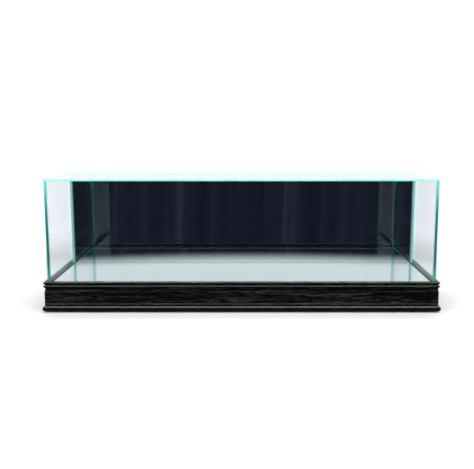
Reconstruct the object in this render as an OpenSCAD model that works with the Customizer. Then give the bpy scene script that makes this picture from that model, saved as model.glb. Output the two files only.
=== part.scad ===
// Football display case: a low glass cover with a mirror back, standing in the
// rim of a black moulded wooden base that has a mirror floor.
// X runs left to right, the front faces -Y, and the origin is the centre of the
// footprint on the surface that the case stands on.

/* [Glass cover] */
// Outside length of the glass cover, left to right
cover_l = 610; // [300:5:1200]
// Outside depth of the glass cover, front to back
cover_d = 170; // [130:5:400]
// Height of the glass cover, from its foot to its top face
cover_h = 168; // [80:1:400]
// Thickness of the glass panes and of the back mirror
glass_t = 4; // [3:0.5:5]
// Thickness of the adhesive film between two panes
film_t = 0.4; // [0.2:0.1:0.6]
// Leg of the clear bead that fills each inner glass corner
bead_leg = 2; // [1:0.5:3]
// Thickness of the painted coat that protects the back mirror
coat_t = 0.3; // [0.2:0.1:0.5]

/* [Wooden base] */
// Height of the wooden moulding
rail_h = 48; // [44:1:70]
// Depth of the rim groove that the glass foot stands in
groove_h = 6; // [5:0.5:8]
// Free gap between the glass and the lip of the rim
groove_gap = 0.8; // [0.5:0.1:1]
// How far the flat board face stands outside the glass
board_out = 4; // [3.5:0.5:6]
// Wood behind the glass face, measured inwards
rail_in = 11; // [10:0.5:16]

/* [Floor] */
// Height of the mirror floor above the ledge that the glass stands on
floor_rise = 1.5; // [0.5:0.5:3]
// Thickness of the floor mirror
mirror_t = 3; // [2:0.5:4]
// Thickness of the deck panel under the mirror
deck_t = 6; // [4:0.5:8]
// Thickness of the adhesive dabs between the mirror and the deck
dab_t = 1; // [0.5:0.5:1.5]
// Side of the square cleats that carry the deck
cleat = 12; // [10:1:14]
// Thickness of the felt pads under the base
pad_t = 1.5; // [1:0.5:3]

/* [Hidden] */
$fn = 48;
eps = 0.01;

// Heights, upwards from the standing surface
rail_z = pad_t;
rim_z = rail_z + rail_h;
foot_z = rim_z - groove_h;
top_z = foot_z + cover_h;
top_under_z = top_z - glass_t;
wall_top_z = top_under_z - film_t;
floor_z = foot_z + floor_rise;
mirror_z = floor_z - mirror_t;
deck_top_z = mirror_z - dab_t;
deck_z = deck_top_z - deck_t;
cleat_z = deck_z - cleat;

// Half sizes of the glass cover, outside and inside
half_l = cover_l / 2;
half_d = cover_d / 2;
in_l = half_l - glass_t;
in_d = half_d - glass_t;
wall_h = wall_top_z - foot_z;

// Half sizes of the floor parts, with the free gap all round
floor_gap = 1;
bead_clearance = 2;
ledge_play = 0.4;
floor_half_l = in_l - floor_gap;
floor_half_d = in_d - floor_gap;
ledge_in = glass_t + floor_gap - ledge_play;
well_l = half_l - rail_in;
well_d = half_d - rail_in;

// Moulding profile, upwards from the bottom of the wood
foot_bead_r = 4.8;
foot_bead_out = board_out + 3.4;
foot_notch_h = 1.2;
cap_r = 2.4;
cap_out = board_out + 1.2;
cap_notch_h = 1.2;
astragal_r = 1.8;
astragal_out = board_out + 1.4;
band_h = 6;
band_out = board_out - 0.9;
arris = 0.7;
fillet_r = 0.9;
fillet_out = board_out + 0.6;
core_out = board_out - 1;
cap_base = rail_h - 2 * cap_r;
astragal_base = cap_base - cap_notch_h - 2 * astragal_r;
board_top = astragal_base - band_h;
board_base = 2 * foot_bead_r + foot_notch_h;

// Fixings
nail_leg = 5;
nail_t = 0.6;
nail_h = 8;
nail_insets = [0, 6];
block_leg = 26;
block_rise = 3;
screw_pitch = well_l / 2.5;
screw_head_r = 3.5;
screw_head_h = 2;
screw_r = 1.75;
screw_len = 15;
screw_tip = 3;
screw_point_r = 0.3;
screw_play = 0.1;
cross_w = 0.9;
cross_l = 3.8;
cross_deep = 1.2;
dab_r = 12;
dab_pitch = floor_half_l / 2;
dab_y = 0.42 * floor_half_d;
pad_r = 6.5;
pad_x = 34;
pad_y = 4;

glass_colour = [0.78, 0.92, 0.9, 0.35];
mirror_colour = [0.72, 0.78, 0.8];
coat_colour = [0.36, 0.38, 0.4];
clear_colour = [0.9, 0.95, 0.95, 0.5];
black_wood = [0.06, 0.06, 0.06];
board_colour = [0.6, 0.47, 0.33];
pine_colour = [0.82, 0.68, 0.46];
steel_colour = [0.7, 0.7, 0.72];
dab_colour = [0.85, 0.83, 0.78];
felt_colour = [0.12, 0.12, 0.13];

// ---- Glass cover -------------------------------------------------------

// A box given by its lowest and highest corners
module block(lo, hi) {
  translate(lo) cube(hi - lo);
}

module front_glass() {
  color(glass_colour)
    block([-half_l, -half_d, foot_z], [half_l, -in_d, wall_top_z]);
}

module back_mirror() {
  color(mirror_colour)
    block([-half_l, in_d, foot_z], [half_l, half_d, wall_top_z]);
}

module back_mirror_coat() {
  color(coat_colour)
    block([-half_l, half_d, foot_z], [half_l, half_d + coat_t, wall_top_z]);
}

// A side pane stands between the front pane and the back mirror
module side_glass(side) {
  end = in_d - film_t;
  color(glass_colour)
    translate([side * (in_l + glass_t / 2), 0, foot_z + wall_h / 2])
      cube([glass_t, 2 * end, wall_h], center = true);
}

module top_glass() {
  color(glass_colour)
    block([-half_l, -half_d, top_under_z], [half_l, half_d, top_z]);
}

// Hollow-faced bead that fills the corner between +X and +Y
module bead_section() {
  difference() {
    square(bead_leg);
    translate([bead_leg, bead_leg]) circle(r = bead_leg);
  }
}

// Upright joint: film at the end of the side pane and a bead inside the corner
module upright_seam(x_side, y_side) {
  bead_z = floor_z + bead_clearance;
  bead_top = wall_top_z - bead_leg;
  color(clear_colour)
    mirror([x_side > 0 ? 1 : 0, 0, 0])
      mirror([0, y_side > 0 ? 1 : 0, 0])
        union() {
          block([-half_l, -in_d, foot_z], [-in_l, -in_d + film_t, wall_top_z]);
          translate([-in_l, -in_d, bead_z])
            linear_extrude(bead_top - bead_z) bead_section();
        }
}

// Level joint along X: film on top of the pane and a bead under the top glass
module long_top_seam(y_side) {
  color(clear_colour)
    mirror([0, y_side > 0 ? 1 : 0, 0])
      union() {
        block([-half_l, -half_d, wall_top_z], [half_l, -in_d, top_under_z]);
        translate([-in_l, -in_d, top_under_z])
          rotate([90, 0, 90])
            linear_extrude(2 * in_l) mirror([0, 1]) bead_section();
      }
}

// Level joint along Y, between the two long ones
module short_top_seam(x_side) {
  reach = in_d - bead_leg;
  color(clear_colour)
    mirror([x_side > 0 ? 1 : 0, 0, 0])
      union() {
        block([-half_l, -in_d, wall_top_z], [-in_l, in_d, top_under_z]);
        translate([-in_l, reach, top_under_z])
          rotate([90, 0, 0])
            linear_extrude(2 * reach) mirror([0, 1]) bead_section();
      }
}

// ---- Moulded base ------------------------------------------------------

// Strip of the moulding from its inner line out to a half-round nose
module nosed_strip(inner, outer, base, radius) {
  intersection() {
    union() {
      translate([inner, base])
        square([outer - radius - inner, 2 * radius]);
      translate([outer - radius, base + radius])
        circle(r = radius);
    }
    translate([inner, base])
      square([outer - inner, 2 * radius]);
  }
}

// Section of the moulding: X is outwards from the glass face, Y is up
module moulding_section() {
  // body of the rail, up to its seat for the deck
  translate([-rail_in, 0])
    square([rail_in + core_out, deck_z - rail_z]);
  // ledge under the glass
  translate([-ledge_in, 0])
    square([ledge_in + core_out, rail_h - groove_h]);
  // lip outside the glass
  translate([groove_gap, 0])
    square([core_out - groove_gap, rail_h - arris]);
  nosed_strip(0, foot_bead_out, 0, foot_bead_r);
  nosed_strip(0, fillet_out, board_base, fillet_r);
  // flat board with an eased upper edge
  translate([0, board_base + fillet_r])
    square([board_out, board_top - board_base - fillet_r - arris]);
  nosed_strip(0, board_out, board_top - 2 * arris, arris);
  // sunk band between the board and the small bead
  translate([0, board_top - arris])
    square([band_out, band_h + 2 * arris]);
  nosed_strip(0, astragal_out, astragal_base, astragal_r);
  nosed_strip(groove_gap, cap_out, cap_base, cap_r);
}

// Plan of one rail, cut at 45 degrees through the corners of the glass
module mitre_plan(run) {
  outer = foot_bead_out + 1;
  inner = rail_in + 1;
  polygon([
    [-run / 2 - outer, -outer],
    [run / 2 + outer, -outer],
    [run / 2 - inner, inner],
    [-run / 2 + inner, inner],
  ]);
}

// One mitred rail that runs along X, with its outside facing -Y
module rail(run, offset, turn) {
  color(black_wood)
    difference() {
      rotate([0, 0, turn])
        translate([0, -offset, 0])
          intersection() {
            translate([0, 0, rail_z])
              rotate([90, 0, 90])
                linear_extrude(run + 4 * foot_bead_out, center = true)
                  mirror([1, 0]) moulding_section();
            linear_extrude(rim_z + 1) mitre_plan(run);
          }
      every_corner() v_nails();
    }
}

// Repeats what is drawn for the front-left corner of the glass at all four
module every_corner() {
  for (x_side = [-1, 1])
    for (y_side = [-1, 1])
      at_corner(x_side, y_side) children();
}

// Corner frame: origin at the glass corner, +X and +Y towards the middle
module at_corner(x_side, y_side) {
  mirror([x_side > 0 ? 1 : 0, 0, 0])
    mirror([0, y_side > 0 ? 1 : 0, 0])
      translate([-half_l, -half_d, 0])
        children();
}

// The two angle fasteners driven up into one mitre
module v_nails() {
  for (inset = nail_insets)
    translate([inset, inset, rail_z])
      linear_extrude(nail_h)
        difference() {
          square(nail_leg);
          translate([nail_t, nail_t]) square(nail_leg);
        }
}

module mitre_v_nails() {
  color(steel_colour) every_corner() v_nails();
}

// Three-cornered glue block behind one mitre, under the cleats
module corner_block(x_side, y_side) {
  color(pine_colour)
    at_corner(x_side, y_side)
      translate([rail_in, rail_in, rail_z + block_rise])
        linear_extrude(cleat_z - rail_z - block_rise)
          polygon([[0, 0], [block_leg, 0], [0, block_leg]]);
}

// ---- Floor -------------------------------------------------------------

// Screw places: a row on each long cleat and one on each short cleat
screw_places = [
  for (i = [-2 : 2])
    for (side = [-1, 1])
      [i * screw_pitch, side * (well_d - cleat / 2)],
  for (side = [-1, 1])
    [side * (well_l - cleat / 2), 0],
];

// Shape of a countersunk screw, grown by the play that its hole needs
module screw_form(play) {
  neck_z = deck_top_z - screw_head_h;
  translate([0, 0, neck_z])
    cylinder(h = screw_head_h, r1 = screw_r + play, r2 = screw_head_r + play);
  translate([0, 0, neck_z - screw_len + screw_tip])
    cylinder(h = screw_len - screw_tip + eps, r = screw_r + play);
  translate([0, 0, neck_z - screw_len])
    cylinder(h = screw_tip + eps, r1 = screw_point_r, r2 = screw_r + play);
}

module screw_holes() {
  for (place = screw_places)
    translate([place[0], place[1], 0]) screw_form(screw_play);
}

module deck_screws() {
  color(steel_colour)
    for (place = screw_places)
      translate([place[0], place[1], 0])
        difference() {
          screw_form(0);
          for (turn = [0, 90])
            translate([0, 0, deck_top_z])
              rotate([0, 0, turn])
                cube([cross_l, cross_w, 2 * cross_deep], center = true);
        }
}

// Cleat glued along the inside of a rail; the long ones run past the short ones
module long_cleat(side) {
  color(pine_colour)
    difference() {
      translate([0, side * (well_d - cleat / 2), cleat_z + cleat / 2])
        cube([2 * well_l, cleat, cleat], center = true);
      screw_holes();
    }
}

module short_cleat(side) {
  color(pine_colour)
    difference() {
      translate([side * (well_l - cleat / 2), 0, cleat_z + cleat / 2])
        cube([cleat, 2 * (well_d - cleat), cleat], center = true);
      screw_holes();
    }
}

module deck_panel() {
  color(board_colour)
    difference() {
      block([-floor_half_l, -floor_half_d, deck_z], [floor_half_l, floor_half_d, deck_top_z]);
      screw_holes();
    }
}

module mirror_adhesive() {
  color(dab_colour)
    for (i = [-1.5 : 1.5])
      for (side = [-1, 1])
        translate([i * dab_pitch, side * dab_y, deck_top_z])
          cylinder(h = dab_t, r = dab_r);
}

module floor_mirror() {
  color(mirror_colour)
    block([-floor_half_l, -floor_half_d, mirror_z], [floor_half_l, floor_half_d, floor_z]);
}

// Round felt pad stuck under the rail near one corner
module felt_pad(x_side, y_side) {
  color(felt_colour)
    at_corner(x_side, y_side)
      translate([pad_x, pad_y, 0])
        cylinder(h = pad_t, r = pad_r);
}

front_glass();
side_glass(-1);  // left_glass
side_glass(1);  // right_glass
top_glass();
back_mirror();
back_mirror_coat();
upright_seam(-1, -1);  // seam_front_left
upright_seam(1, -1);  // seam_front_right
upright_seam(-1, 1);  // seam_back_left
upright_seam(1, 1);  // seam_back_right
long_top_seam(-1);  // seam_top_front
long_top_seam(1);  // seam_top_back
short_top_seam(-1);  // seam_top_left
short_top_seam(1);  // seam_top_right
rail(cover_l, half_d, 0);  // rail_front
rail(cover_l, half_d, 180);  // rail_back
rail(cover_d, half_l, -90);  // rail_left
rail(cover_d, half_l, 90);  // rail_right
mitre_v_nails();
corner_block(-1, -1);  // corner_block_front_left
corner_block(1, -1);  // corner_block_front_right
corner_block(-1, 1);  // corner_block_back_left
corner_block(1, 1);  // corner_block_back_right
long_cleat(-1);  // cleat_front
long_cleat(1);  // cleat_back
short_cleat(-1);  // cleat_left
short_cleat(1);  // cleat_right
deck_panel();
deck_screws();
mirror_adhesive();
floor_mirror();
felt_pad(-1, -1);  // felt_pad_front_left
felt_pad(1, -1);  // felt_pad_front_right
felt_pad(-1, 1);  // felt_pad_back_left
felt_pad(1, 1);  // felt_pad_back_right
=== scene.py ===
"""Football display case: looks, light and camera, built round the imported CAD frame."""

import math

import bpy
import numpy as np
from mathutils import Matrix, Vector, noise


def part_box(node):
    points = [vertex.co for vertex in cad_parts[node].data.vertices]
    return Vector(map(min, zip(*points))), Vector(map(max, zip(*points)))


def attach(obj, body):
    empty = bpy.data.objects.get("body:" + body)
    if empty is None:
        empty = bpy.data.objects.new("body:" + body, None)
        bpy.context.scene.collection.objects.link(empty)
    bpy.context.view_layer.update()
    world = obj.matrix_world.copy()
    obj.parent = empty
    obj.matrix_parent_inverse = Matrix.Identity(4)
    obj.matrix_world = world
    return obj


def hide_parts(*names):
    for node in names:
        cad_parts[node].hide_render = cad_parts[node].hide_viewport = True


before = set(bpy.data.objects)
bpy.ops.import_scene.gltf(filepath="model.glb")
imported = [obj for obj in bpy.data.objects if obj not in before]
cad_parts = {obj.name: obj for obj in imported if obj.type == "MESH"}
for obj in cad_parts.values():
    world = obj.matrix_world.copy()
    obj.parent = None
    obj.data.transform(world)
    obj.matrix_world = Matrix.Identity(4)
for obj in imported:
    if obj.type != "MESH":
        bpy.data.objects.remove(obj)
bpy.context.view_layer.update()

MM = 0.001
cover_low, cover_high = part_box("top_glass")
foot_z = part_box("front_glass")[0].z
base_low, base_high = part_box("rail_front")
half_l, half_d = cover_high.x, -cover_low.y


# ---- Camera ------------------------------------------------------------------

LENS_MM = 54.2
SENSOR_MM = 36
CAMERA_AHEAD = 1.092      # from the front glass
CAMERA_RIGHT = 0.012
CAMERA_HEIGHT = 0.304
CAMERA_PITCH = math.radians(9.38)
SHIFT_X = -0.026


def make_camera():
    data = bpy.data.cameras.new("photo_camera")
    data.lens = LENS_MM
    data.sensor_width = SENSOR_MM
    data.shift_x = SHIFT_X
    data.clip_start = 0.01
    data.clip_end = 60
    camera = bpy.data.objects.new("photo_camera", data)
    camera.location = (CAMERA_RIGHT, -half_d - CAMERA_AHEAD, CAMERA_HEIGHT)
    camera.rotation_euler = (math.pi / 2 - CAMERA_PITCH, 0, 0)
    bpy.context.scene.collection.objects.link(camera)
    bpy.context.scene.camera = camera


# ---- Shader helpers ----------------------------------------------------------

def node(tree, kind, inputs=None, **settings):
    """A shader node; an input given as a socket is linked, anything else is its value."""
    made = tree.nodes.new(kind)
    for name, value in settings.items():
        setattr(made, name, value)
    for name, value in (inputs or {}).items():
        if isinstance(value, bpy.types.NodeSocket):
            tree.links.new(value, made.inputs[name])
        else:
            made.inputs[name].default_value = value
    return made


def material(name, colour):
    """An empty material with its output node; colour is for the viewport."""
    made = bpy.data.materials.new(name)
    made.use_nodes = True
    made.node_tree.nodes.clear()
    made.diffuse_color = (*colour[:3], 1)
    return made, made.node_tree, node(made.node_tree, "ShaderNodeOutputMaterial")


def ramp(tree, factor, stops):
    """A colour ramp through (position, colour) stops."""
    made = node(tree, "ShaderNodeValToRGB", {"Fac": factor})
    elements = made.color_ramp.elements
    while len(elements) < len(stops):
        elements.new(0.5)
    for element, (place, colour) in zip(elements, stops):
        element.position = place
        element.color = (*colour, 1) if len(colour) == 3 else colour
    return made.outputs["Color"]


def grey(value):
    return (value, value, value)


def coordinates(tree, scale):
    """Object coordinates, scaled along each axis."""
    place = node(tree, "ShaderNodeTexCoord").outputs["Object"]
    return node(tree, "ShaderNodeMapping", {"Vector": place, "Scale": scale}).outputs["Vector"]


def noise_texture(tree, vector, scale=1, detail=4, roughness=0.5, distortion=0):
    made = node(tree, "ShaderNodeTexNoise", {
        "Vector": vector, "Scale": scale, "Detail": detail,
        "Roughness": roughness, "Distortion": distortion,
    })
    return made.outputs["Fac"]


def math_node(tree, operation, a, b=0.0, clamp=False):
    made = node(tree, "ShaderNodeMath", operation=operation, use_clamp=clamp)
    for socket, value in zip(made.inputs, (a, b)):
        if isinstance(value, bpy.types.NodeSocket):
            tree.links.new(value, socket)
        else:
            socket.default_value = value
    return made.outputs[0]


def span(tree, value, low, high, out_low=0.0, out_high=1.0):
    """value from low..high carried smoothly to out_low..out_high."""
    made = node(tree, "ShaderNodeMapRange", {
        "Value": value, "From Min": low, "From Max": high,
        "To Min": out_low, "To Max": out_high,
    }, interpolation_type="SMOOTHSTEP")
    return made.outputs["Result"]


def bump(tree, height, distance, strength=1.0, normal=None):
    inputs = {"Height": height, "Distance": distance, "Strength": strength}
    if normal is not None:
        inputs["Normal"] = normal
    return node(tree, "ShaderNodeBump", inputs).outputs["Normal"]


def principled(tree, out, inputs):
    made = node(tree, "ShaderNodeBsdfPrincipled", inputs)
    tree.links.new(made.outputs["BSDF"], out.inputs["Surface"])


# ---- Materials of the case ---------------------------------------------------

GLASS_IOR = 1.52
GRAIN_UV = "along_and_round"
FACE_TINT = (0.985, 0.995, 0.992)
FACE_TINT_EDGE_ON = (0.95, 0.972, 0.98)
EDGE_FROM_INSIDE = (0.46, 0.86, 0.84, 1)
EDGE_GLOW = (0.38, 0.76, 0.74, 1)

# Painted light on a ground edge, from the foot of the glass up or the top down: where its green is
# painted lit paler, where its rim gets a painted highlight, and where its painted glow starts
TOP_LIGHT_PAINTED_FROM_FOOT = 0.085
TOP_LIGHT_PAINTED_FULL_BELOW_TOP = 4 * MM
FOOT_LIGHT_TOP, FOOT_LIGHT_FULL = 0.040, 0.004
RIM_LIGHT_LOW, RIM_LIGHT_FULL = 3.2 * MM, 0.4 * MM
GLOW_FROM, GLOW_FULL = 0.5 * MM, 3 * MM

# How far the paint's darker sealed rim reaches in from the cover's ends and down from its top
SEAL_FROM, SEAL_FULL = 7 * MM, 5.5 * MM

# How far into the board its lighter figure takes to appear and the painted shade off the board fades
# out, from below and from above
FIGURE_AND_SHADE_IN_LOW, FIGURE_AND_SHADE_IN_HIGH = 0.8 * MM, 1.4 * MM


def clear_glass():
    """A broad glass face: it lets light straight through and mirrors by Fresnel."""
    made, tree, out = material("clear_glass_face", (0.8, 0.95, 0.93))
    back = node(tree, "ShaderNodeNewGeometry").outputs["Backfacing"]
    ior = span(tree, back, 0, 1, GLASS_IOR, 1 / GLASS_IOR)
    fresnel = node(tree, "ShaderNodeFresnel", {"IOR": ior}).outputs["Fac"]
    facing = node(tree, "ShaderNodeLayerWeight", {"Blend": 0.5}).outputs["Facing"]
    tint = ramp(tree, facing, [(0.0, FACE_TINT), (0.7, FACE_TINT), (1.0, FACE_TINT_EDGE_ON)])
    through = node(tree, "ShaderNodeBsdfTransparent", {"Color": tint})
    gloss = node(tree, "ShaderNodeBsdfAnisotropic", {"Color": (1, 1, 1, 1), "Roughness": 0.005})
    both = node(tree, "ShaderNodeMixShader", {
        0: fresnel, 1: through.outputs[0], 2: gloss.outputs[0],
    })
    tree.links.new(both.outputs[0], out.inputs["Surface"])
    return made


def edge_colour_with_painted_light(tree, height):
    """Deep green low on the uprights, with faint streaks, and painted light: paler from the top down
    and near the foot, and a painted highlight round the top.
    """
    lit_from_top = span(tree, height, foot_z + TOP_LIGHT_PAINTED_FROM_FOOT, cover_high.z - TOP_LIGHT_PAINTED_FULL_BELOW_TOP)
    lit_from_foot = span(tree, height, foot_z + FOOT_LIGHT_TOP, foot_z + FOOT_LIGHT_FULL, 0, 0.62)
    streak = noise_texture(tree, coordinates(tree, (26, 26, 13)), 1, 3, 0.6)
    tone = math_node(tree, "ADD", lit_from_top, lit_from_foot)
    tone = math_node(tree, "ADD", tone, span(tree, streak, 0.35, 0.75, -0.06, 0.12), clamp=True)
    colour = ramp(tree, tone, [
        (0.0, (0.001, 0.125, 0.118)), (0.35, (0.006, 0.30, 0.265)),
        (0.75, (0.10, 0.55, 0.48)), (1.0, (0.36, 0.88, 0.80)),
    ])
    # Painted highlight: the top few millimetres of the edge are painted pale, as if lit.
    rim_low, rim_full = cover_high.z - RIM_LIGHT_LOW, cover_high.z - RIM_LIGHT_FULL
    painted_rim_highlight = node(tree, "ShaderNodeMixRGB", {
        "Fac": span(tree, height, rim_low, rim_full, 0, 0.85),
        "Color1": colour, "Color2": (0.78, 0.97, 0.96, 1),
    })
    return painted_rim_highlight.outputs["Color"]


def glass_edge():
    """The ground edge of a pane.

    Seen from within the pane it is a tint, and towards the lit back a painted pale glow. From outside
    its colour carries painted light, and it glows faintly though it is no lamp.
    """
    made, tree, out = material("glass_edge", (0.3, 0.8, 0.72))
    parts = node(tree, "ShaderNodeSeparateXYZ", {"Vector": coordinates(tree, (1, 1, 1))})
    height, depth = parts.outputs["Z"], parts.outputs["Y"]
    colour = edge_colour_with_painted_light(tree, height)
    frost = noise_texture(tree, coordinates(tree, (900, 900, 900)), 1, 2, 0.5)
    # Painted glow: from outside the edge gives off its own painted-light colour at strength 0.25,
    # though it is no lamp.
    ground = node(tree, "ShaderNodeBsdfPrincipled", {
        "Base Color": colour,
        "Roughness": span(tree, frost, 0, 1, 0.10, 0.32),
        "Normal": bump(tree, frost, 0.00005, 0.4),
        "Emission Color": colour,
        "Emission Strength": 0.25,
        "Specular IOR Level": 0.35,
        "Coat Weight": 0.12,
        "Coat Roughness": 0.04,
    })
    tint = node(tree, "ShaderNodeBsdfTransparent", {"Color": EDGE_FROM_INSIDE})
    # Painted glow from within, at strength 0.45, stronger towards the back and above the foot.
    glow = node(tree, "ShaderNodeBsdfPrincipled", {
        "Base Color": EDGE_GLOW, "Roughness": 0.4, "Specular IOR Level": 0,
        "Emission Color": EDGE_GLOW, "Emission Strength": 0.45,
    })
    share = math_node(tree, "MULTIPLY", span(tree, depth, 0, half_d, 0, 0.7),
                      span(tree, height, foot_z + GLOW_FROM, foot_z + GLOW_FULL))
    inside = node(tree, "ShaderNodeMixShader", {0: share, 1: tint.outputs[0], 2: glow.outputs[0]})
    back = node(tree, "ShaderNodeNewGeometry").outputs["Backfacing"]
    both = node(tree, "ShaderNodeMixShader", {0: back, 1: ground.outputs[0], 2: inside.outputs[0]})
    tree.links.new(both.outputs[0], out.inputs["Surface"])
    return made


def silver():
    """The silvered face of a mirror, with a faint trace of wiping."""
    made, tree, out = material("mirror_silver", (0.8, 0.86, 0.85))
    wiping = noise_texture(tree, coordinates(tree, (6, 6, 22)), 1, 5, 0.6, 0.8)
    principled(tree, out, {
        "Base Color": (0.83, 0.875, 0.87, 1),
        "Metallic": 1.0,
        "Roughness": span(tree, wiping, 0.35, 0.75, 0.004, 0.03),
    })
    return made


def mirror_coat():
    """Grey protective paint on a mirror's back: poured streaks, a fine peel, a sealed darker rim."""
    made, tree, out = material("mirror_coat_paint", (0.3, 0.31, 0.33))
    cloud = noise_texture(tree, coordinates(tree, (5, 5, 9)), 1, 6, 0.6, 0.6)
    pour = noise_texture(tree, coordinates(tree, (4, 4, 95)), 1, 5, 0.6, 0.5)
    peel = noise_texture(tree, coordinates(tree, (420, 420, 420)), 1, 3, 0.5)
    speck = noise_texture(tree, coordinates(tree, (150, 150, 150)), 1, 2, 0.4)
    parts = node(tree, "ShaderNodeSeparateXYZ", {"Vector": coordinates(tree, (1, 1, 1))}).outputs
    ragged = math_node(tree, "MULTIPLY", math_node(tree, "SUBTRACT", pour, 0.5), 0.004)
    along = math_node(tree, "ADD", math_node(tree, "ABSOLUTE", parts["X"]), ragged)
    rise = math_node(tree, "ADD", parts["Z"], ragged)
    rim = math_node(tree, "MAXIMUM", span(tree, along, half_l - SEAL_FROM, half_l - SEAL_FULL),
                    span(tree, rise, cover_low.z - SEAL_FROM, cover_low.z - SEAL_FULL))
    tone = math_node(tree, "ADD", span(tree, cloud, 0.3, 0.7, 0.1, 0.7),
                     span(tree, pour, 0.3, 0.7, 0, 0.2))
    body = ramp(tree, tone, [
        (0.0, (0.108, 0.115, 0.128)), (0.5, (0.150, 0.158, 0.172)), (1.0, (0.196, 0.204, 0.220)),
    ])
    sealed = node(tree, "ShaderNodeMixRGB", {
        "Fac": math_node(tree, "MULTIPLY", rim, 0.55),
        "Color1": body, "Color2": (0.055, 0.058, 0.066, 1),
    })
    flecked = node(tree, "ShaderNodeMixRGB", {
        "Fac": span(tree, speck, 0.70, 0.78, 0, 0.5), "Color1": sealed.outputs["Color"],
        "Color2": (0.07, 0.072, 0.08, 1),
    })
    soft = bump(tree, pour, 0.00012, 0.4)
    principled(tree, out, {
        "Base Color": flecked.outputs["Color"],
        "Roughness": span(tree, tone, 0.1, 0.9, 0.56, 0.40),
        "Normal": bump(tree, peel, 0.00009, 0.6, soft),
    })
    return made


def clear_adhesive():
    """Cured clear adhesive: see-through with a soft gloss and a little milk in it."""
    made, tree, out = material("clear_adhesive_bead", (0.9, 0.95, 0.94))
    ripple = noise_texture(tree, coordinates(tree, (220, 220, 220)), 1, 2, 0.5)
    normal = bump(tree, ripple, 0.0002, 0.5)
    weight = node(tree, "ShaderNodeLayerWeight", {"Blend": 0.35, "Normal": normal})
    through = node(tree, "ShaderNodeBsdfTransparent", {"Color": (0.93, 0.975, 0.965, 1)})
    body = node(tree, "ShaderNodeBsdfPrincipled", {
        "Base Color": (0.42, 0.74, 0.68, 1), "Roughness": 0.14, "IOR": 1.41, "Normal": normal,
    })
    share = span(tree, weight.outputs["Facing"], 0, 1, 0.05, 0.40)
    both = node(tree, "ShaderNodeMixShader", {
        0: share, 1: through.outputs[0], 2: body.outputs[0],
    })
    tree.links.new(both.outputs[0], out.inputs["Surface"])
    return made


def black_wood():
    """Black-stained open-grain wood under satin lacquer; its UV runs along and round the rail.

    The lighter figure shows on the flat board; off it, on the noses and the sunk band, and near the
    board's edges, the wood is dimmed as painted shade.
    """
    made, tree, out = material("black_open_grain", (0.02, 0.02, 0.02))
    place = node(tree, "ShaderNodeUVMap", uv_map=GRAIN_UV).outputs["UV"]
    around = node(tree, "ShaderNodeSeparateXYZ", {"Vector": place}).outputs["Y"]
    board_low, board_high = board_reach()
    on_board = math_node(
        tree, "MULTIPLY",
        span(tree, around, board_low, board_low + FIGURE_AND_SHADE_IN_LOW),
        span(tree, around, board_high, board_high - FIGURE_AND_SHADE_IN_HIGH))

    def grain(scale, detail, roughness, distortion):
        at = node(tree, "ShaderNodeMapping", {"Vector": place, "Scale": scale})
        return noise_texture(tree, at.outputs["Vector"], 1, detail, roughness, distortion)

    figure = grain((7, 150, 1), 5, 0.6, 1.4)
    fibre = grain((40, 520, 1), 5, 0.68, 0.6)
    pore = span(tree, grain((130, 2600, 1), 3, 0.55, 0.2), 0.50, 0.66)
    tone = math_node(tree, "ADD", span(tree, figure, 0.38, 0.64, 0, 0.45),
                     span(tree, fibre, 0.40, 0.60, 0, 0.65))
    tone = math_node(tree, "SUBTRACT", tone, math_node(tree, "MULTIPLY", pore, 0.25), clamp=True)
    # Painted shade: off the flat board the tone is dimmed to 0.45 of itself.
    tone = math_node(tree, "MULTIPLY", tone, span(tree, on_board, 0, 1, 0.45, 1))
    colour = ramp(tree, tone, [
        (0.0, (0.0002, 0.0003, 0.0002)), (0.45, (0.0006, 0.0009, 0.0006)),
        (0.75, (0.0085, 0.0115, 0.0078)), (1.0, (0.034, 0.043, 0.030)),
    ])
    rough = math_node(tree, "ADD", span(tree, fibre, 0.2, 0.8, 0.15, 0.24),
                      math_node(tree, "MULTIPLY", pore, 0.12))
    rough = math_node(tree, "ADD", rough, math_node(tree, "MULTIPLY", on_board, 0.05))
    height = math_node(tree, "SUBTRACT", math_node(tree, "MULTIPLY", fibre, 0.6), pore)
    principled(tree, out, {
        "Base Color": colour,
        "Roughness": rough,
        "Specular IOR Level": 0.055,
        "Coat Weight": 0.04,
        "Coat Roughness": 0.14,
        "Normal": bump(tree, height, 0.00016, 0.6),
    })
    return made


def pine(turn):
    """Planed bare softwood with its grain along X, or along Y when turned."""
    made, tree, out = material("raw_pine_along_" + ("y" if turn else "x"), (0.7, 0.53, 0.33))
    long_ways = (60, 4, 60) if turn else (4, 60, 60)
    ring = noise_texture(tree, coordinates(tree, long_ways), 1, 3, 0.5, 0.6)
    fibre_scale = (1500, 60, 1500) if turn else (60, 1500, 1500)
    fibre = noise_texture(tree, coordinates(tree, fibre_scale), 1, 3, 0.6)
    bands = math_node(tree, "PINGPONG", math_node(tree, "MULTIPLY", ring, 9), 1)
    tone = math_node(tree, "ADD", math_node(tree, "MULTIPLY", bands, 0.7),
                     math_node(tree, "MULTIPLY", fibre, 0.3))
    colour = ramp(tree, tone, [
        (0.0, (0.47, 0.29, 0.13)), (0.5, (0.62, 0.43, 0.22)), (1.0, (0.73, 0.55, 0.33)),
    ])
    principled(tree, out, {
        "Base Color": colour,
        "Roughness": span(tree, fibre, 0, 1, 0.55, 0.8),
        "Normal": bump(tree, fibre, 0.00015, 0.5),
    })
    return made


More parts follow.
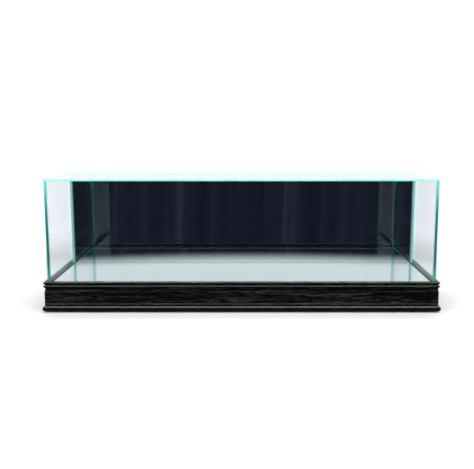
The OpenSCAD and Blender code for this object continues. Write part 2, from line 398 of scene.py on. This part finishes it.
def fibreboard():
    made, tree, out = material("bare_fibreboard", (0.42, 0.29, 0.17))
    fleck = noise_texture(tree, coordinates(tree, (700, 700, 700)), 1, 5, 0.7)
    cloud = noise_texture(tree, coordinates(tree, (12, 12, 12)), 1, 3, 0.5)
    tone = math_node(tree, "ADD", math_node(tree, "MULTIPLY", fleck, 0.7),
                     math_node(tree, "MULTIPLY", cloud, 0.3))
    colour = ramp(tree, tone, [
        (0.38, (0.20, 0.125, 0.065)), (0.50, (0.30, 0.195, 0.105)), (0.62, (0.39, 0.27, 0.16)),
    ])
    principled(tree, out, {
        "Base Color": colour,
        "Roughness": span(tree, fleck, 0, 1, 0.65, 0.85),
        "Normal": bump(tree, fleck, 0.0001, 0.4),
    })
    return made


def plated_steel():
    made, tree, out = material("zinc_plated_steel", (0.65, 0.65, 0.66))
    grain = noise_texture(tree, coordinates(tree, (900, 900, 250)), 1, 3, 0.6)
    spots = noise_texture(tree, coordinates(tree, (160, 160, 160)), 1, 4, 0.6)
    colour = ramp(tree, spots, [(0.3, (0.50, 0.50, 0.50)), (0.7, (0.66, 0.665, 0.68))])
    principled(tree, out, {
        "Base Color": colour,
        "Metallic": 1.0,
        "Roughness": span(tree, grain, 0.2, 0.8, 0.22, 0.42),
        "Normal": bump(tree, grain, 0.00004, 0.4),
    })
    return made


def mastic():
    made, tree, out = material("cured_mastic", (0.75, 0.73, 0.67))
    lumps = noise_texture(tree, coordinates(tree, (180, 180, 180)), 1, 4, 0.55)
    colour = ramp(tree, lumps, [(0.3, (0.52, 0.50, 0.43)), (0.7, (0.62, 0.60, 0.53))])
    principled(tree, out, {
        "Base Color": colour,
        "Roughness": span(tree, lumps, 0, 1, 0.4, 0.6),
        "Normal": bump(tree, lumps, 0.0003, 0.6),
    })
    return made


def felt():
    made, tree, out = material("dense_black_felt", (0.05, 0.05, 0.055))
    hair = noise_texture(tree, coordinates(tree, (1400, 1400, 1400)), 1, 5, 0.75, 1.5)
    colour = ramp(tree, hair, [(0.3, (0.010, 0.010, 0.012)), (0.7, (0.040, 0.040, 0.045))])
    principled(tree, out, {
        "Base Color": colour,
        "Roughness": span(tree, hair, 0, 1, 0.85, 1.0),
        "Sheen Weight": 0.6,
        "Sheen Roughness": 0.5,
        "Normal": bump(tree, hair, 0.0003, 0.8),
    })
    return made


# ---- Mesh helpers ------------------------------------------------------------

def piece(name, points, faces, materials, indices=None, smooth=None, uvs=None):
    """A mesh object from plain lists; indices and smooth are per face, uvs per point."""
    mesh = bpy.data.meshes.new(name)
    mesh.from_pydata([tuple(p) for p in points], [], faces)
    for m in materials:
        mesh.materials.append(m)
    if indices is not None:
        mesh.polygons.foreach_set("material_index", indices)
    if smooth is not None:
        mesh.polygons.foreach_set("use_smooth", smooth)
    if uvs is not None:
        corners = np.empty(len(mesh.loops), np.int32)
        mesh.loops.foreach_get("vertex_index", corners)
        layer = mesh.uv_layers.new(name=GRAIN_UV)
        layer.data.foreach_set("uv", np.asarray(uvs, np.float32)[corners].ravel())
    mesh.validate()
    mesh.update()
    made = bpy.data.objects.new(name, mesh)
    bpy.context.scene.collection.objects.link(made)
    return made


def join(made, body, slot, *nodes):
    """Puts a new piece on its body, in place of the CAD nodes named; slot is not used."""
    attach(made, body)
    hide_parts(*nodes)
    return made


def ring_faces(count, rings, flip=False):
    """Quads from each closed ring of count points to the next ring; flip turns them over."""
    faces = []
    for ring in range(rings - 1):
        for i in range(count):
            a, b = ring * count + i, ring * count + (i + 1) % count
            others = (a + count, b + count, b) if flip else (b, b + count, a + count)
            faces.append((a, *others))
    return faces


def paint(material_used, *nodes):
    """Gives CAD nodes a material in place of their plain one."""
    for name in nodes:
        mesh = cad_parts[name].data
        mesh.materials.clear()
        mesh.materials.append(material_used)


# ---- Glass panes and mirrors -------------------------------------------------

PANE_PLAY = 0.03 * MM     # air left between a pane and the adhesive film on it
ARRIS = 0.5 * MM          # ground bevel along every glass edge
ARRIS_WAVER = 0.45        # the bevel's width wavers by up to this share of it
ARRIS_WAVES = 160         # per metre along the edge
CORNER_R = 0.9 * MM
CORNER_STEPS = 4
STATION = 3 * MM          # mesh step along a straight edge


def outline(width, height):
    """Stations round a rectangle with slightly rounded corners: (point, outward normal)."""
    stations = []
    corners = [(1, 1), (-1, 1), (-1, -1), (1, -1)]
    for i, (sx, sy) in enumerate(corners):
        centre = Vector((sx * (width / 2 - CORNER_R), sy * (height / 2 - CORNER_R)))
        for k in range(CORNER_STEPS + 1):
            a = math.pi / 2 * (i + k / CORNER_STEPS)
            out = Vector((math.cos(a), math.sin(a)))
            stations.append((centre + out * CORNER_R, out))
        out = stations[-1][1]
        nx, ny = corners[(i + 1) % 4]
        end = Vector((nx * (width / 2 - CORNER_R), ny * (height / 2 - CORNER_R))) + out * CORNER_R
        start = stations[-1][0]
        steps = max(2, round((end - start).length / STATION))
        stations += [(start.lerp(end, k / steps), out) for k in range(1, steps)]
    return stations


def pane(name, node_name, thin, face_materials, edge, slot, body):
    """A pane with hand-ground arrises; thin is the number of the axis across it.

    face_materials are for the low and the high broad face on that axis.
    """
    low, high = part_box(node_name)
    low += Vector((PANE_PLAY,) * 3)
    high -= Vector((PANE_PLAY,) * 3)
    middle, size = (low + high) / 2, high - low
    across = [axis for axis in range(3) if axis != thin]
    rings = [[], [], [], []]
    for at, out in outline(size[across[0]], size[across[1]]):
        seed = Vector((at.x * ARRIS_WAVES, at.y * ARRIS_WAVES, thin + middle.x))
        width = ARRIS * (1 + ARRIS_WAVER * noise.noise(seed))
        for ring, (inset, depth) in zip(rings, [
            (width, -size[thin] / 2), (0, width - size[thin] / 2),
            (0, size[thin] / 2 - width), (width, size[thin] / 2),
        ]):
            flat = at - out * inset
            point = middle.copy()
            point[across[0]] += flat.x
            point[across[1]] += flat.y
            point[thin] += depth
            ring.append(point)
    count = len(rings[0])
    faces = [tuple(reversed(range(count))), tuple(range(3 * count, 4 * count))]
    faces += ring_faces(count, len(rings))
    if thin == 1:
        faces = [tuple(reversed(f)) for f in faces]
    indices = [0, 1] + [2] * (3 * count)
    made = piece(name, sum(rings, []), faces, [*face_materials, edge], indices,
                 [False] * len(faces))
    return join(made, body, slot, node_name)


# ---- Moulded rails -----------------------------------------------------------

# The moulding's section, outwards from the glass face and up from its foot. The sizes are the
# CAD's own, apart from EASE, which is 0.7 mm there, and LIP_EASE and NAIL_SHOW, not made there.
RAIL_IN = 11 * MM
LEDGE_IN = 4.6 * MM
GROOVE_GAP = 0.8 * MM
GROOVE_H = 6 * MM
BOARD_OUT = 4 * MM
FOOT_R, FOOT_OUT, FOOT_NOTCH = 4.8 * MM, 7.4 * MM, 1.2 * MM
CAP_R, CAP_OUT, CAP_NOTCH = 2.4 * MM, 5.2 * MM, 1.2 * MM
SMALL_R, SMALL_OUT = 1.8 * MM, 5.4 * MM
FILLET_R, FILLET_OUT = 0.9 * MM, 4.6 * MM
BAND_H, BAND_OUT = 6 * MM, 3.1 * MM
EASE = 0.2 * MM
LIP_EASE = 0.3 * MM
CORE_OUT = 3 * MM
RAIL_H = base_high.z - base_low.z
SEAT_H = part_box("deck_panel")[0].z - base_low.z
RAIL_STEP = 2 * MM
NEAR = 0.01 * MM
MERGED = 0.02 * MM         # points of the section nearer than this are one
NAIL_SHOW = 0.04 * MM      # the wood stops this much short of the nails set in its foot
MITRE_EASE = 0.25 * MM
END_STEP = 0.6 * MM        # the mitre's ease runs out over half of this
CREASE = math.radians(28)
GRAIN_DEEP = 0.08 * MM
GRAIN_PITCH = 2.1 * MM     # between two lines of open grain
GRAIN_BEND = 2.6
GRAIN_ON_BEADS = 0.35      # the beads show this share of the grain's depth
GRAIN_SHIFT = 0.37         # takes each rail's look from another stretch of wood


def nose(out, base, radius, steps, start=-90, stop=90):
    """Points round a half-round nose, from below to above."""
    centre = Vector((out - radius, base + radius))
    angles = [math.radians(start + (stop - start) * k / steps) for k in range(steps + 1)]
    return [centre + radius * Vector((math.cos(a), math.sin(a))) for a in angles]


def run_up(out, low, high, step):
    """Points up a flat face, ends left out."""
    steps = max(1, round((high - low) / step))
    return [Vector((out, low + (high - low) * k / steps)) for k in range(1, steps)]


def moulding_section():
    """The closed outline of the moulding, anticlockwise from the inner foot."""
    cap_base = RAIL_H - 2 * CAP_R
    small_base = cap_base - CAP_NOTCH - 2 * SMALL_R
    board_top = small_base - BAND_H
    board_base = 2 * FOOT_R + FOOT_NOTCH
    fillet_top = board_base + FILLET_R + math.sqrt(
        FILLET_R ** 2 - (BOARD_OUT - FILLET_OUT + FILLET_R) ** 2)
    stop = math.degrees(math.asin((fillet_top - board_base - FILLET_R) / FILLET_R))
    points = [Vector((-RAIL_IN, NAIL_SHOW)), Vector((FOOT_OUT - FOOT_R, NAIL_SHOW))]
    points += nose(FOOT_OUT, 0, FOOT_R, 18)[1:]
    points += [Vector((CORE_OUT, 2 * FOOT_R)), Vector((CORE_OUT, board_base))]
    points += nose(FILLET_OUT, board_base, FILLET_R, 8, -90, stop)
    points += run_up(BOARD_OUT, fillet_top, board_top - EASE, 0.6 * MM)
    points += nose(BOARD_OUT, board_top - 2 * EASE, EASE, 5, 0, 90)
    points += [Vector((BAND_OUT, board_top))]
    points += run_up(BAND_OUT, board_top, small_base, 1 * MM)
    points += [Vector((BAND_OUT, small_base))]
    points += nose(SMALL_OUT, small_base, SMALL_R, 12)
    points += [Vector((CORE_OUT, small_base + 2 * SMALL_R)), Vector((CORE_OUT, cap_base))]
    points += nose(CAP_OUT, cap_base, CAP_R, 12)
    points += [
        Vector((GROOVE_GAP + LIP_EASE, RAIL_H)), Vector((GROOVE_GAP, RAIL_H - LIP_EASE)),
        Vector((GROOVE_GAP, RAIL_H - GROOVE_H)), Vector((-LEDGE_IN, RAIL_H - GROOVE_H)),
        Vector((-LEDGE_IN, SEAT_H)), Vector((-RAIL_IN, SEAT_H)),
    ]
    kept = [points[0]]
    for p in points[1:]:
        if (p - kept[-1]).length > MERGED:
            kept.append(p)
    return kept


def distances(section):
    """How far each point lies from the first one, walked round the section."""
    walked = [0.0]
    for before, after in zip(section, section[1:]):
        walked.append(walked[-1] + (after - before).length)
    return walked


def board_reach():
    """Where the flat board starts and ends, in distance round the section."""
    section = moulding_section()
    on_board = [s for s, p in zip(distances(section), section) if abs(p.x - BOARD_OUT) < NEAR]
    return on_board[0], on_board[-1]


def outward_normals(section):
    normals = []
    for i in range(len(section)):
        way = (section[(i + 1) % len(section)] - section[i - 1]).normalized()
        normals.append(Vector((way.y, -way.x)))
    return normals


def grain_depth(along, around, seed):
    """How deep the open grain lies at a place on the rail, from 0 to 1."""
    bend = 0.9 * noise.noise(Vector((along * 7, around * 60, seed)))
    bend += 0.35 * noise.noise(Vector((along * 26, around * 160, seed + 5)))
    lines = math.sin((around / GRAIN_PITCH + GRAIN_BEND * bend) * math.pi)
    broken = 0.5 + 0.5 * noise.noise(Vector((along * 40, around * 900, seed + 9)))
    return max(0.0, lines) ** 2 * broken


def sunk(out, along, around, seed, at_end):
    """How far the wood lies under its plain section: the open grain, and the eased mitre."""
    if out <= BAND_OUT - NEAR:
        return 0.0
    share = 1 if out < BOARD_OUT + 10 * NEAR else GRAIN_ON_BEADS
    grain = GRAIN_DEEP * grain_depth(along, around, seed) * share
    return grain + MITRE_EASE if at_end else grain


def rail_stations(run):
    """Places along a rail, from -1 at one mitre to 1 at the other."""
    steps = round(run / RAIL_STEP)
    between = [-1 + 2 * k / steps for k in range(1, steps)]
    return [-1, -1 + END_STEP / run, *between, 1 - END_STEP / run, 1]


def rail(name, run, offset, turn, wood, seed):
    """One mitred rail with open grain on its outer faces and an eased mitre line."""
    section = moulding_section()
    count = len(section)
    walls = list(zip(section, outward_normals(section), distances(section)))
    stations = rail_stations(run)
    turned = math.radians(turn)
    cos, sin = math.cos(turned), math.sin(turned)
    points, uvs = [], []
    for t in stations:
        for p, n, s in walls:
            along = t * (run / 2 + p.x)
            sink = sunk(p.x, along, s, seed, abs(t) == 1)
            out = p.x - n.x * sink
            up = p.y - n.y * sink
            x, y = along, -offset - out
            points.append((x * cos - y * sin, x * sin + y * cos, base_low.z + up))
            uvs.append((along + seed * GRAIN_SHIFT, s))
    faces = ring_faces(count, len(stations), flip=True)
    smooth = [True] * len(faces) + [False, False]
    last = (len(stations) - 1) * count
    faces += [tuple(range(count)), tuple(reversed(range(last, last + count)))]
    made = piece(name + "_moulding", points, faces, [wood], None, smooth, uvs)
    made.data.set_sharp_from_angle(angle=CREASE)
    return join(made, "base", "black_wood", name)


# ---- Felt pads ---------------------------------------------------------------

FELT_TURNS = 72
FELT_RAGGED = 0.035        # of the radius
FELT_RIM = 0.9             # ragged outside this share of the radius


def felt_pad(name, material_used):
    """A punched felt disc with a soft, slightly ragged rim."""
    low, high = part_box(name)
    middle, radius, thick = (low + high) / 2, (high.x - low.x) / 2, high.z - low.z
    rows = [(0.5, 0), (0.90, 0), (0.985, 0.12), (1.0, 0.35), (0.995, 0.7), (0.95, 1), (0.5, 1)]
    points = []
    for share, level in rows:
        for k in range(FELT_TURNS):
            a = 2 * math.pi * k / FELT_TURNS
            way = Vector((math.cos(a), math.sin(a), 0))
            ragged = FELT_RAGGED * abs(noise.noise(Vector((way.x * 9, way.y * 9, level * 3))))
            reach = radius * share * (1 - ragged if share > FELT_RIM else 1)
            points.append(Vector((middle.x, middle.y, low.z + thick * level)) + way * reach)
    faces = ring_faces(FELT_TURNS, len(rows))
    last = (len(rows) - 1) * FELT_TURNS
    faces += [tuple(reversed(range(FELT_TURNS))), tuple(range(last, last + FELT_TURNS))]
    made = piece(name + "_disc", points, faces, [material_used], None, [True] * len(faces))
    return join(made, "base", "felt", name)


# ---- Stage and light ---------------------------------------------------------

WHITE = (1, 1, 1, 1)
BACKDROP = (1.68, 1.69, 1.80, 1)    # past white, so that it stays bright through the panes
STREAK_CENTRE_Y = 1.35    # streaks on the dark floor fan out from here, upright in the mirror

# The dark room in reflections: directions by their Y and Z, then places on the floor by their Y
ROOM_AHEAD_FROM, ROOM_AHEAD_FULL = -0.50, -0.82
ROOM_BELOW_FROM, ROOM_BELOW_FULL = 0.206, 0.185
DIM_FLOOR_FROM, DIM_FLOOR_FULL = -0.10, -0.20

FLOOR_REACH = 9.0
FLOOR_FADE_FROM, FLOOR_FADE_FULL = 0.40, 0.85    # distance from the case's middle


def dim_room(tree, across, ahead):
    """The dark room before the case, in soft streaks that stand upright in the mirror."""
    fan = math_node(tree, "DIVIDE", across, ahead)
    place = node(tree, "ShaderNodeCombineXYZ", {"X": fan}).outputs["Vector"]
    return ramp(tree, noise_texture(tree, place, 26, 4, 0.62), [
        (0.38, (0.006, 0.007, 0.016)), (0.55, (0.013, 0.014, 0.027)), (0.72, (0.036, 0.039, 0.061)),
    ])


def make_world():
    """A white backdrop and soft light; reflections show a pale studio, dark low in front."""
    world = bpy.data.worlds.new("studio")
    bpy.context.scene.world = world
    world.use_nodes = True
    tree = world.node_tree
    tree.nodes.clear()
    out = node(tree, "ShaderNodeOutputWorld")
    way = node(tree, "ShaderNodeTexCoord").outputs["Generated"]
    parts = node(tree, "ShaderNodeSeparateXYZ", {"Vector": way}).outputs
    front = span(tree, parts["Y"], ROOM_AHEAD_FROM, ROOM_AHEAD_FULL)
    low = span(tree, parts["Z"], ROOM_BELOW_FROM, ROOM_BELOW_FULL)
    dim = dim_room(tree, parts["X"], math_node(tree, "MULTIPLY", parts["Y"], -1))
    pale = ramp(tree, parts["Z"], [
        (0.0, (1.20, 1.22, 1.28)), (0.12, (1.08, 1.10, 1.15)), (0.25, (0.92, 0.93, 0.97)),
        (0.6, (0.74, 0.75, 0.78)), (0.95, (0.80, 0.81, 0.84)),
    ])
    seen = node(tree, "ShaderNodeMixRGB", {
        "Fac": math_node(tree, "MULTIPLY", front, low), "Color1": pale, "Color2": dim,
    })
    reflected = node(tree, "ShaderNodeBackground", {"Color": seen.outputs["Color"]})
    fill = node(tree, "ShaderNodeBackground", {"Color": WHITE, "Strength": 0.6})
    backdrop = node(tree, "ShaderNodeBackground", {"Color": BACKDROP})
    path = node(tree, "ShaderNodeLightPath").outputs
    light = node(tree, "ShaderNodeMixShader", {
        0: path["Is Glossy Ray"], 1: fill.outputs[0], 2: reflected.outputs[0],
    })
    both = node(tree, "ShaderNodeMixShader", {
        0: path["Is Camera Ray"], 1: light.outputs[0], 2: backdrop.outputs[0],
    })
    tree.links.new(both.outputs[0], out.inputs["Surface"])


def make_floor():
    """A pale floor that fades to the white backdrop, and to dark in reflections further ahead."""
    made, tree, out = material("studio_floor", (0.9, 0.9, 0.9))
    place = coordinates(tree, (1, 1, 1))
    parts = node(tree, "ShaderNodeSeparateXYZ", {"Vector": place}).outputs
    path = node(tree, "ShaderNodeLightPath").outputs
    dust = noise_texture(tree, coordinates(tree, (2, 2, 2)), 1, 3, 0.5)
    seen = ramp(tree, dust, [(0.3, grey(0.90)), (0.7, grey(0.92))])
    tone = node(tree, "ShaderNodeMixRGB", {
        "Fac": path["Is Glossy Ray"], "Color1": seen, "Color2": (0.68, 0.70, 0.72, 1),
    })
    pale = node(tree, "ShaderNodeBsdfPrincipled", {
        "Base Color": tone.outputs["Color"], "Roughness": 0.7, "Specular IOR Level": 0.2,
    })
    white = node(tree, "ShaderNodeEmission", {"Color": BACKDROP})
    distance = node(tree, "ShaderNodeVectorMath", {0: place}, operation="LENGTH").outputs["Value"]
    far = span(tree, distance, FLOOR_FADE_FROM, FLOOR_FADE_FULL)
    away = math_node(tree, "MULTIPLY", far, path["Is Camera Ray"])
    faded = node(tree, "ShaderNodeMixShader", {0: away, 1: pale.outputs[0], 2: white.outputs[0]})
    ahead = math_node(tree, "SUBTRACT", STREAK_CENTRE_Y, parts["Y"])
    dim = node(tree, "ShaderNodeEmission", {"Color": dim_room(tree, parts["X"], ahead)})
    in_front = span(tree, parts["Y"], DIM_FLOOR_FROM, DIM_FLOOR_FULL)
    share = math_node(tree, "MULTIPLY", in_front, path["Is Glossy Ray"])
    both = node(tree, "ShaderNodeMixShader", {0: share, 1: faded.outputs[0], 2: dim.outputs[0]})
    tree.links.new(both.outputs[0], out.inputs["Surface"])
    corners = [(x * FLOOR_REACH, y * FLOOR_REACH, 0) for x, y in [(-1, -1), (1, -1), (1, 1), (-1, 1)]]
    floor = piece("studio_floor", corners, [(0, 1, 2, 3)], [made])


def make_light(name, place, aim, size, power):
    """An area light at a place, turned towards its aim."""
    data = bpy.data.lights.new(name, "AREA")
    data.shape = "RECTANGLE"
    data.size, data.size_y = size
    data.energy = power
    made = bpy.data.objects.new(name, data)
    made.location = place
    made.rotation_euler = (Vector(aim) - Vector(place)).to_track_quat("-Z", "Y").to_euler()
    bpy.context.scene.collection.objects.link(made)
    return made


# ---- Build -------------------------------------------------------------------

def build_cover():
    face, edge, mirror, coat = clear_glass(), glass_edge(), silver(), mirror_coat()
    for name, thin in [("front_glass", 1), ("left_glass", 0), ("right_glass", 0), ("top_glass", 2)]:
        pane(name + "_pane", name, thin, [face, face], edge, "clear_glass", "cover")
    pane("back_mirror_pane", "back_mirror", 1, [mirror, coat], edge, "mirror_glass", "cover")
    pane("floor_mirror_pane", "floor_mirror", 2, [coat, mirror], edge, "mirror_glass", "base")
    paint(coat, "back_mirror_coat")
    adhesive = clear_adhesive()
    paint(adhesive, *[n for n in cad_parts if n.startswith("seam_")])


def build_base():
    wood = black_wood()
    rails = [
        rail("rail_front", 2 * half_l, half_d, 0, wood, 1),
        rail("rail_back", 2 * half_l, half_d, 180, wood, 2),
        rail("rail_left", 2 * half_d, half_l, -90, wood, 3),
        rail("rail_right", 2 * half_d, half_l, 90, wood, 4),
    ]
    pine_x, pine_y = pine(False), pine(True)
    paint(pine_x, "cleat_front", "cleat_back")
    paint(pine_y, "cleat_left", "cleat_right")
    paint(pine_x, *[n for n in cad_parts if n.startswith("corner_block_")])
    paint(fibreboard(), "deck_panel")
    paint(plated_steel(), "deck_screws", "mitre_v_nails")
    paint(mastic(), "mirror_adhesive")
    soft = felt()
    for name in [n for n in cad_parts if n.startswith("felt_pad_")]:
        felt_pad(name, soft)
    return rails


def make_stage(rails):
    make_world()
    make_floor()
    front = make_light("front_fill", place=(0, -0.62, 1.22), aim=(0, -0.05, 0.05),
                       size=(2.2, 0.3), power=14)
    back = make_light("back_fill", place=(0, 0.75, 1.25), aim=(0, 0.05, 0.05),
                      size=(2.2, 0.3), power=8)
    front.visible_glossy = back.visible_glossy = False
    moulding = bpy.data.collections.new("lit_by_gloss_strips")
    for rail_piece in rails:
        moulding.objects.link(rail_piece)
    for name, side, power in [("gloss_strip_front", -1, 250), ("gloss_strip_back", 1, 160)]:
        gloss = make_light(name, place=(0, side * 0.64, 1.24), aim=(0, side * 0.05, 0.05),
                           size=(2.4, 0.6), power=power)
        gloss.visible_diffuse = False
        gloss.light_linking.receiver_collection = moulding
    scene = bpy.context.scene
    scene.view_settings.view_transform = "Standard"
    scene.cycles.transparent_max_bounces = 48
    scene.cycles.max_bounces = 20
    scene.cycles.glossy_bounces = 14
    scene.cycles.sample_clamp_indirect = 6


make_camera()
build_cover()
make_stage(build_base())
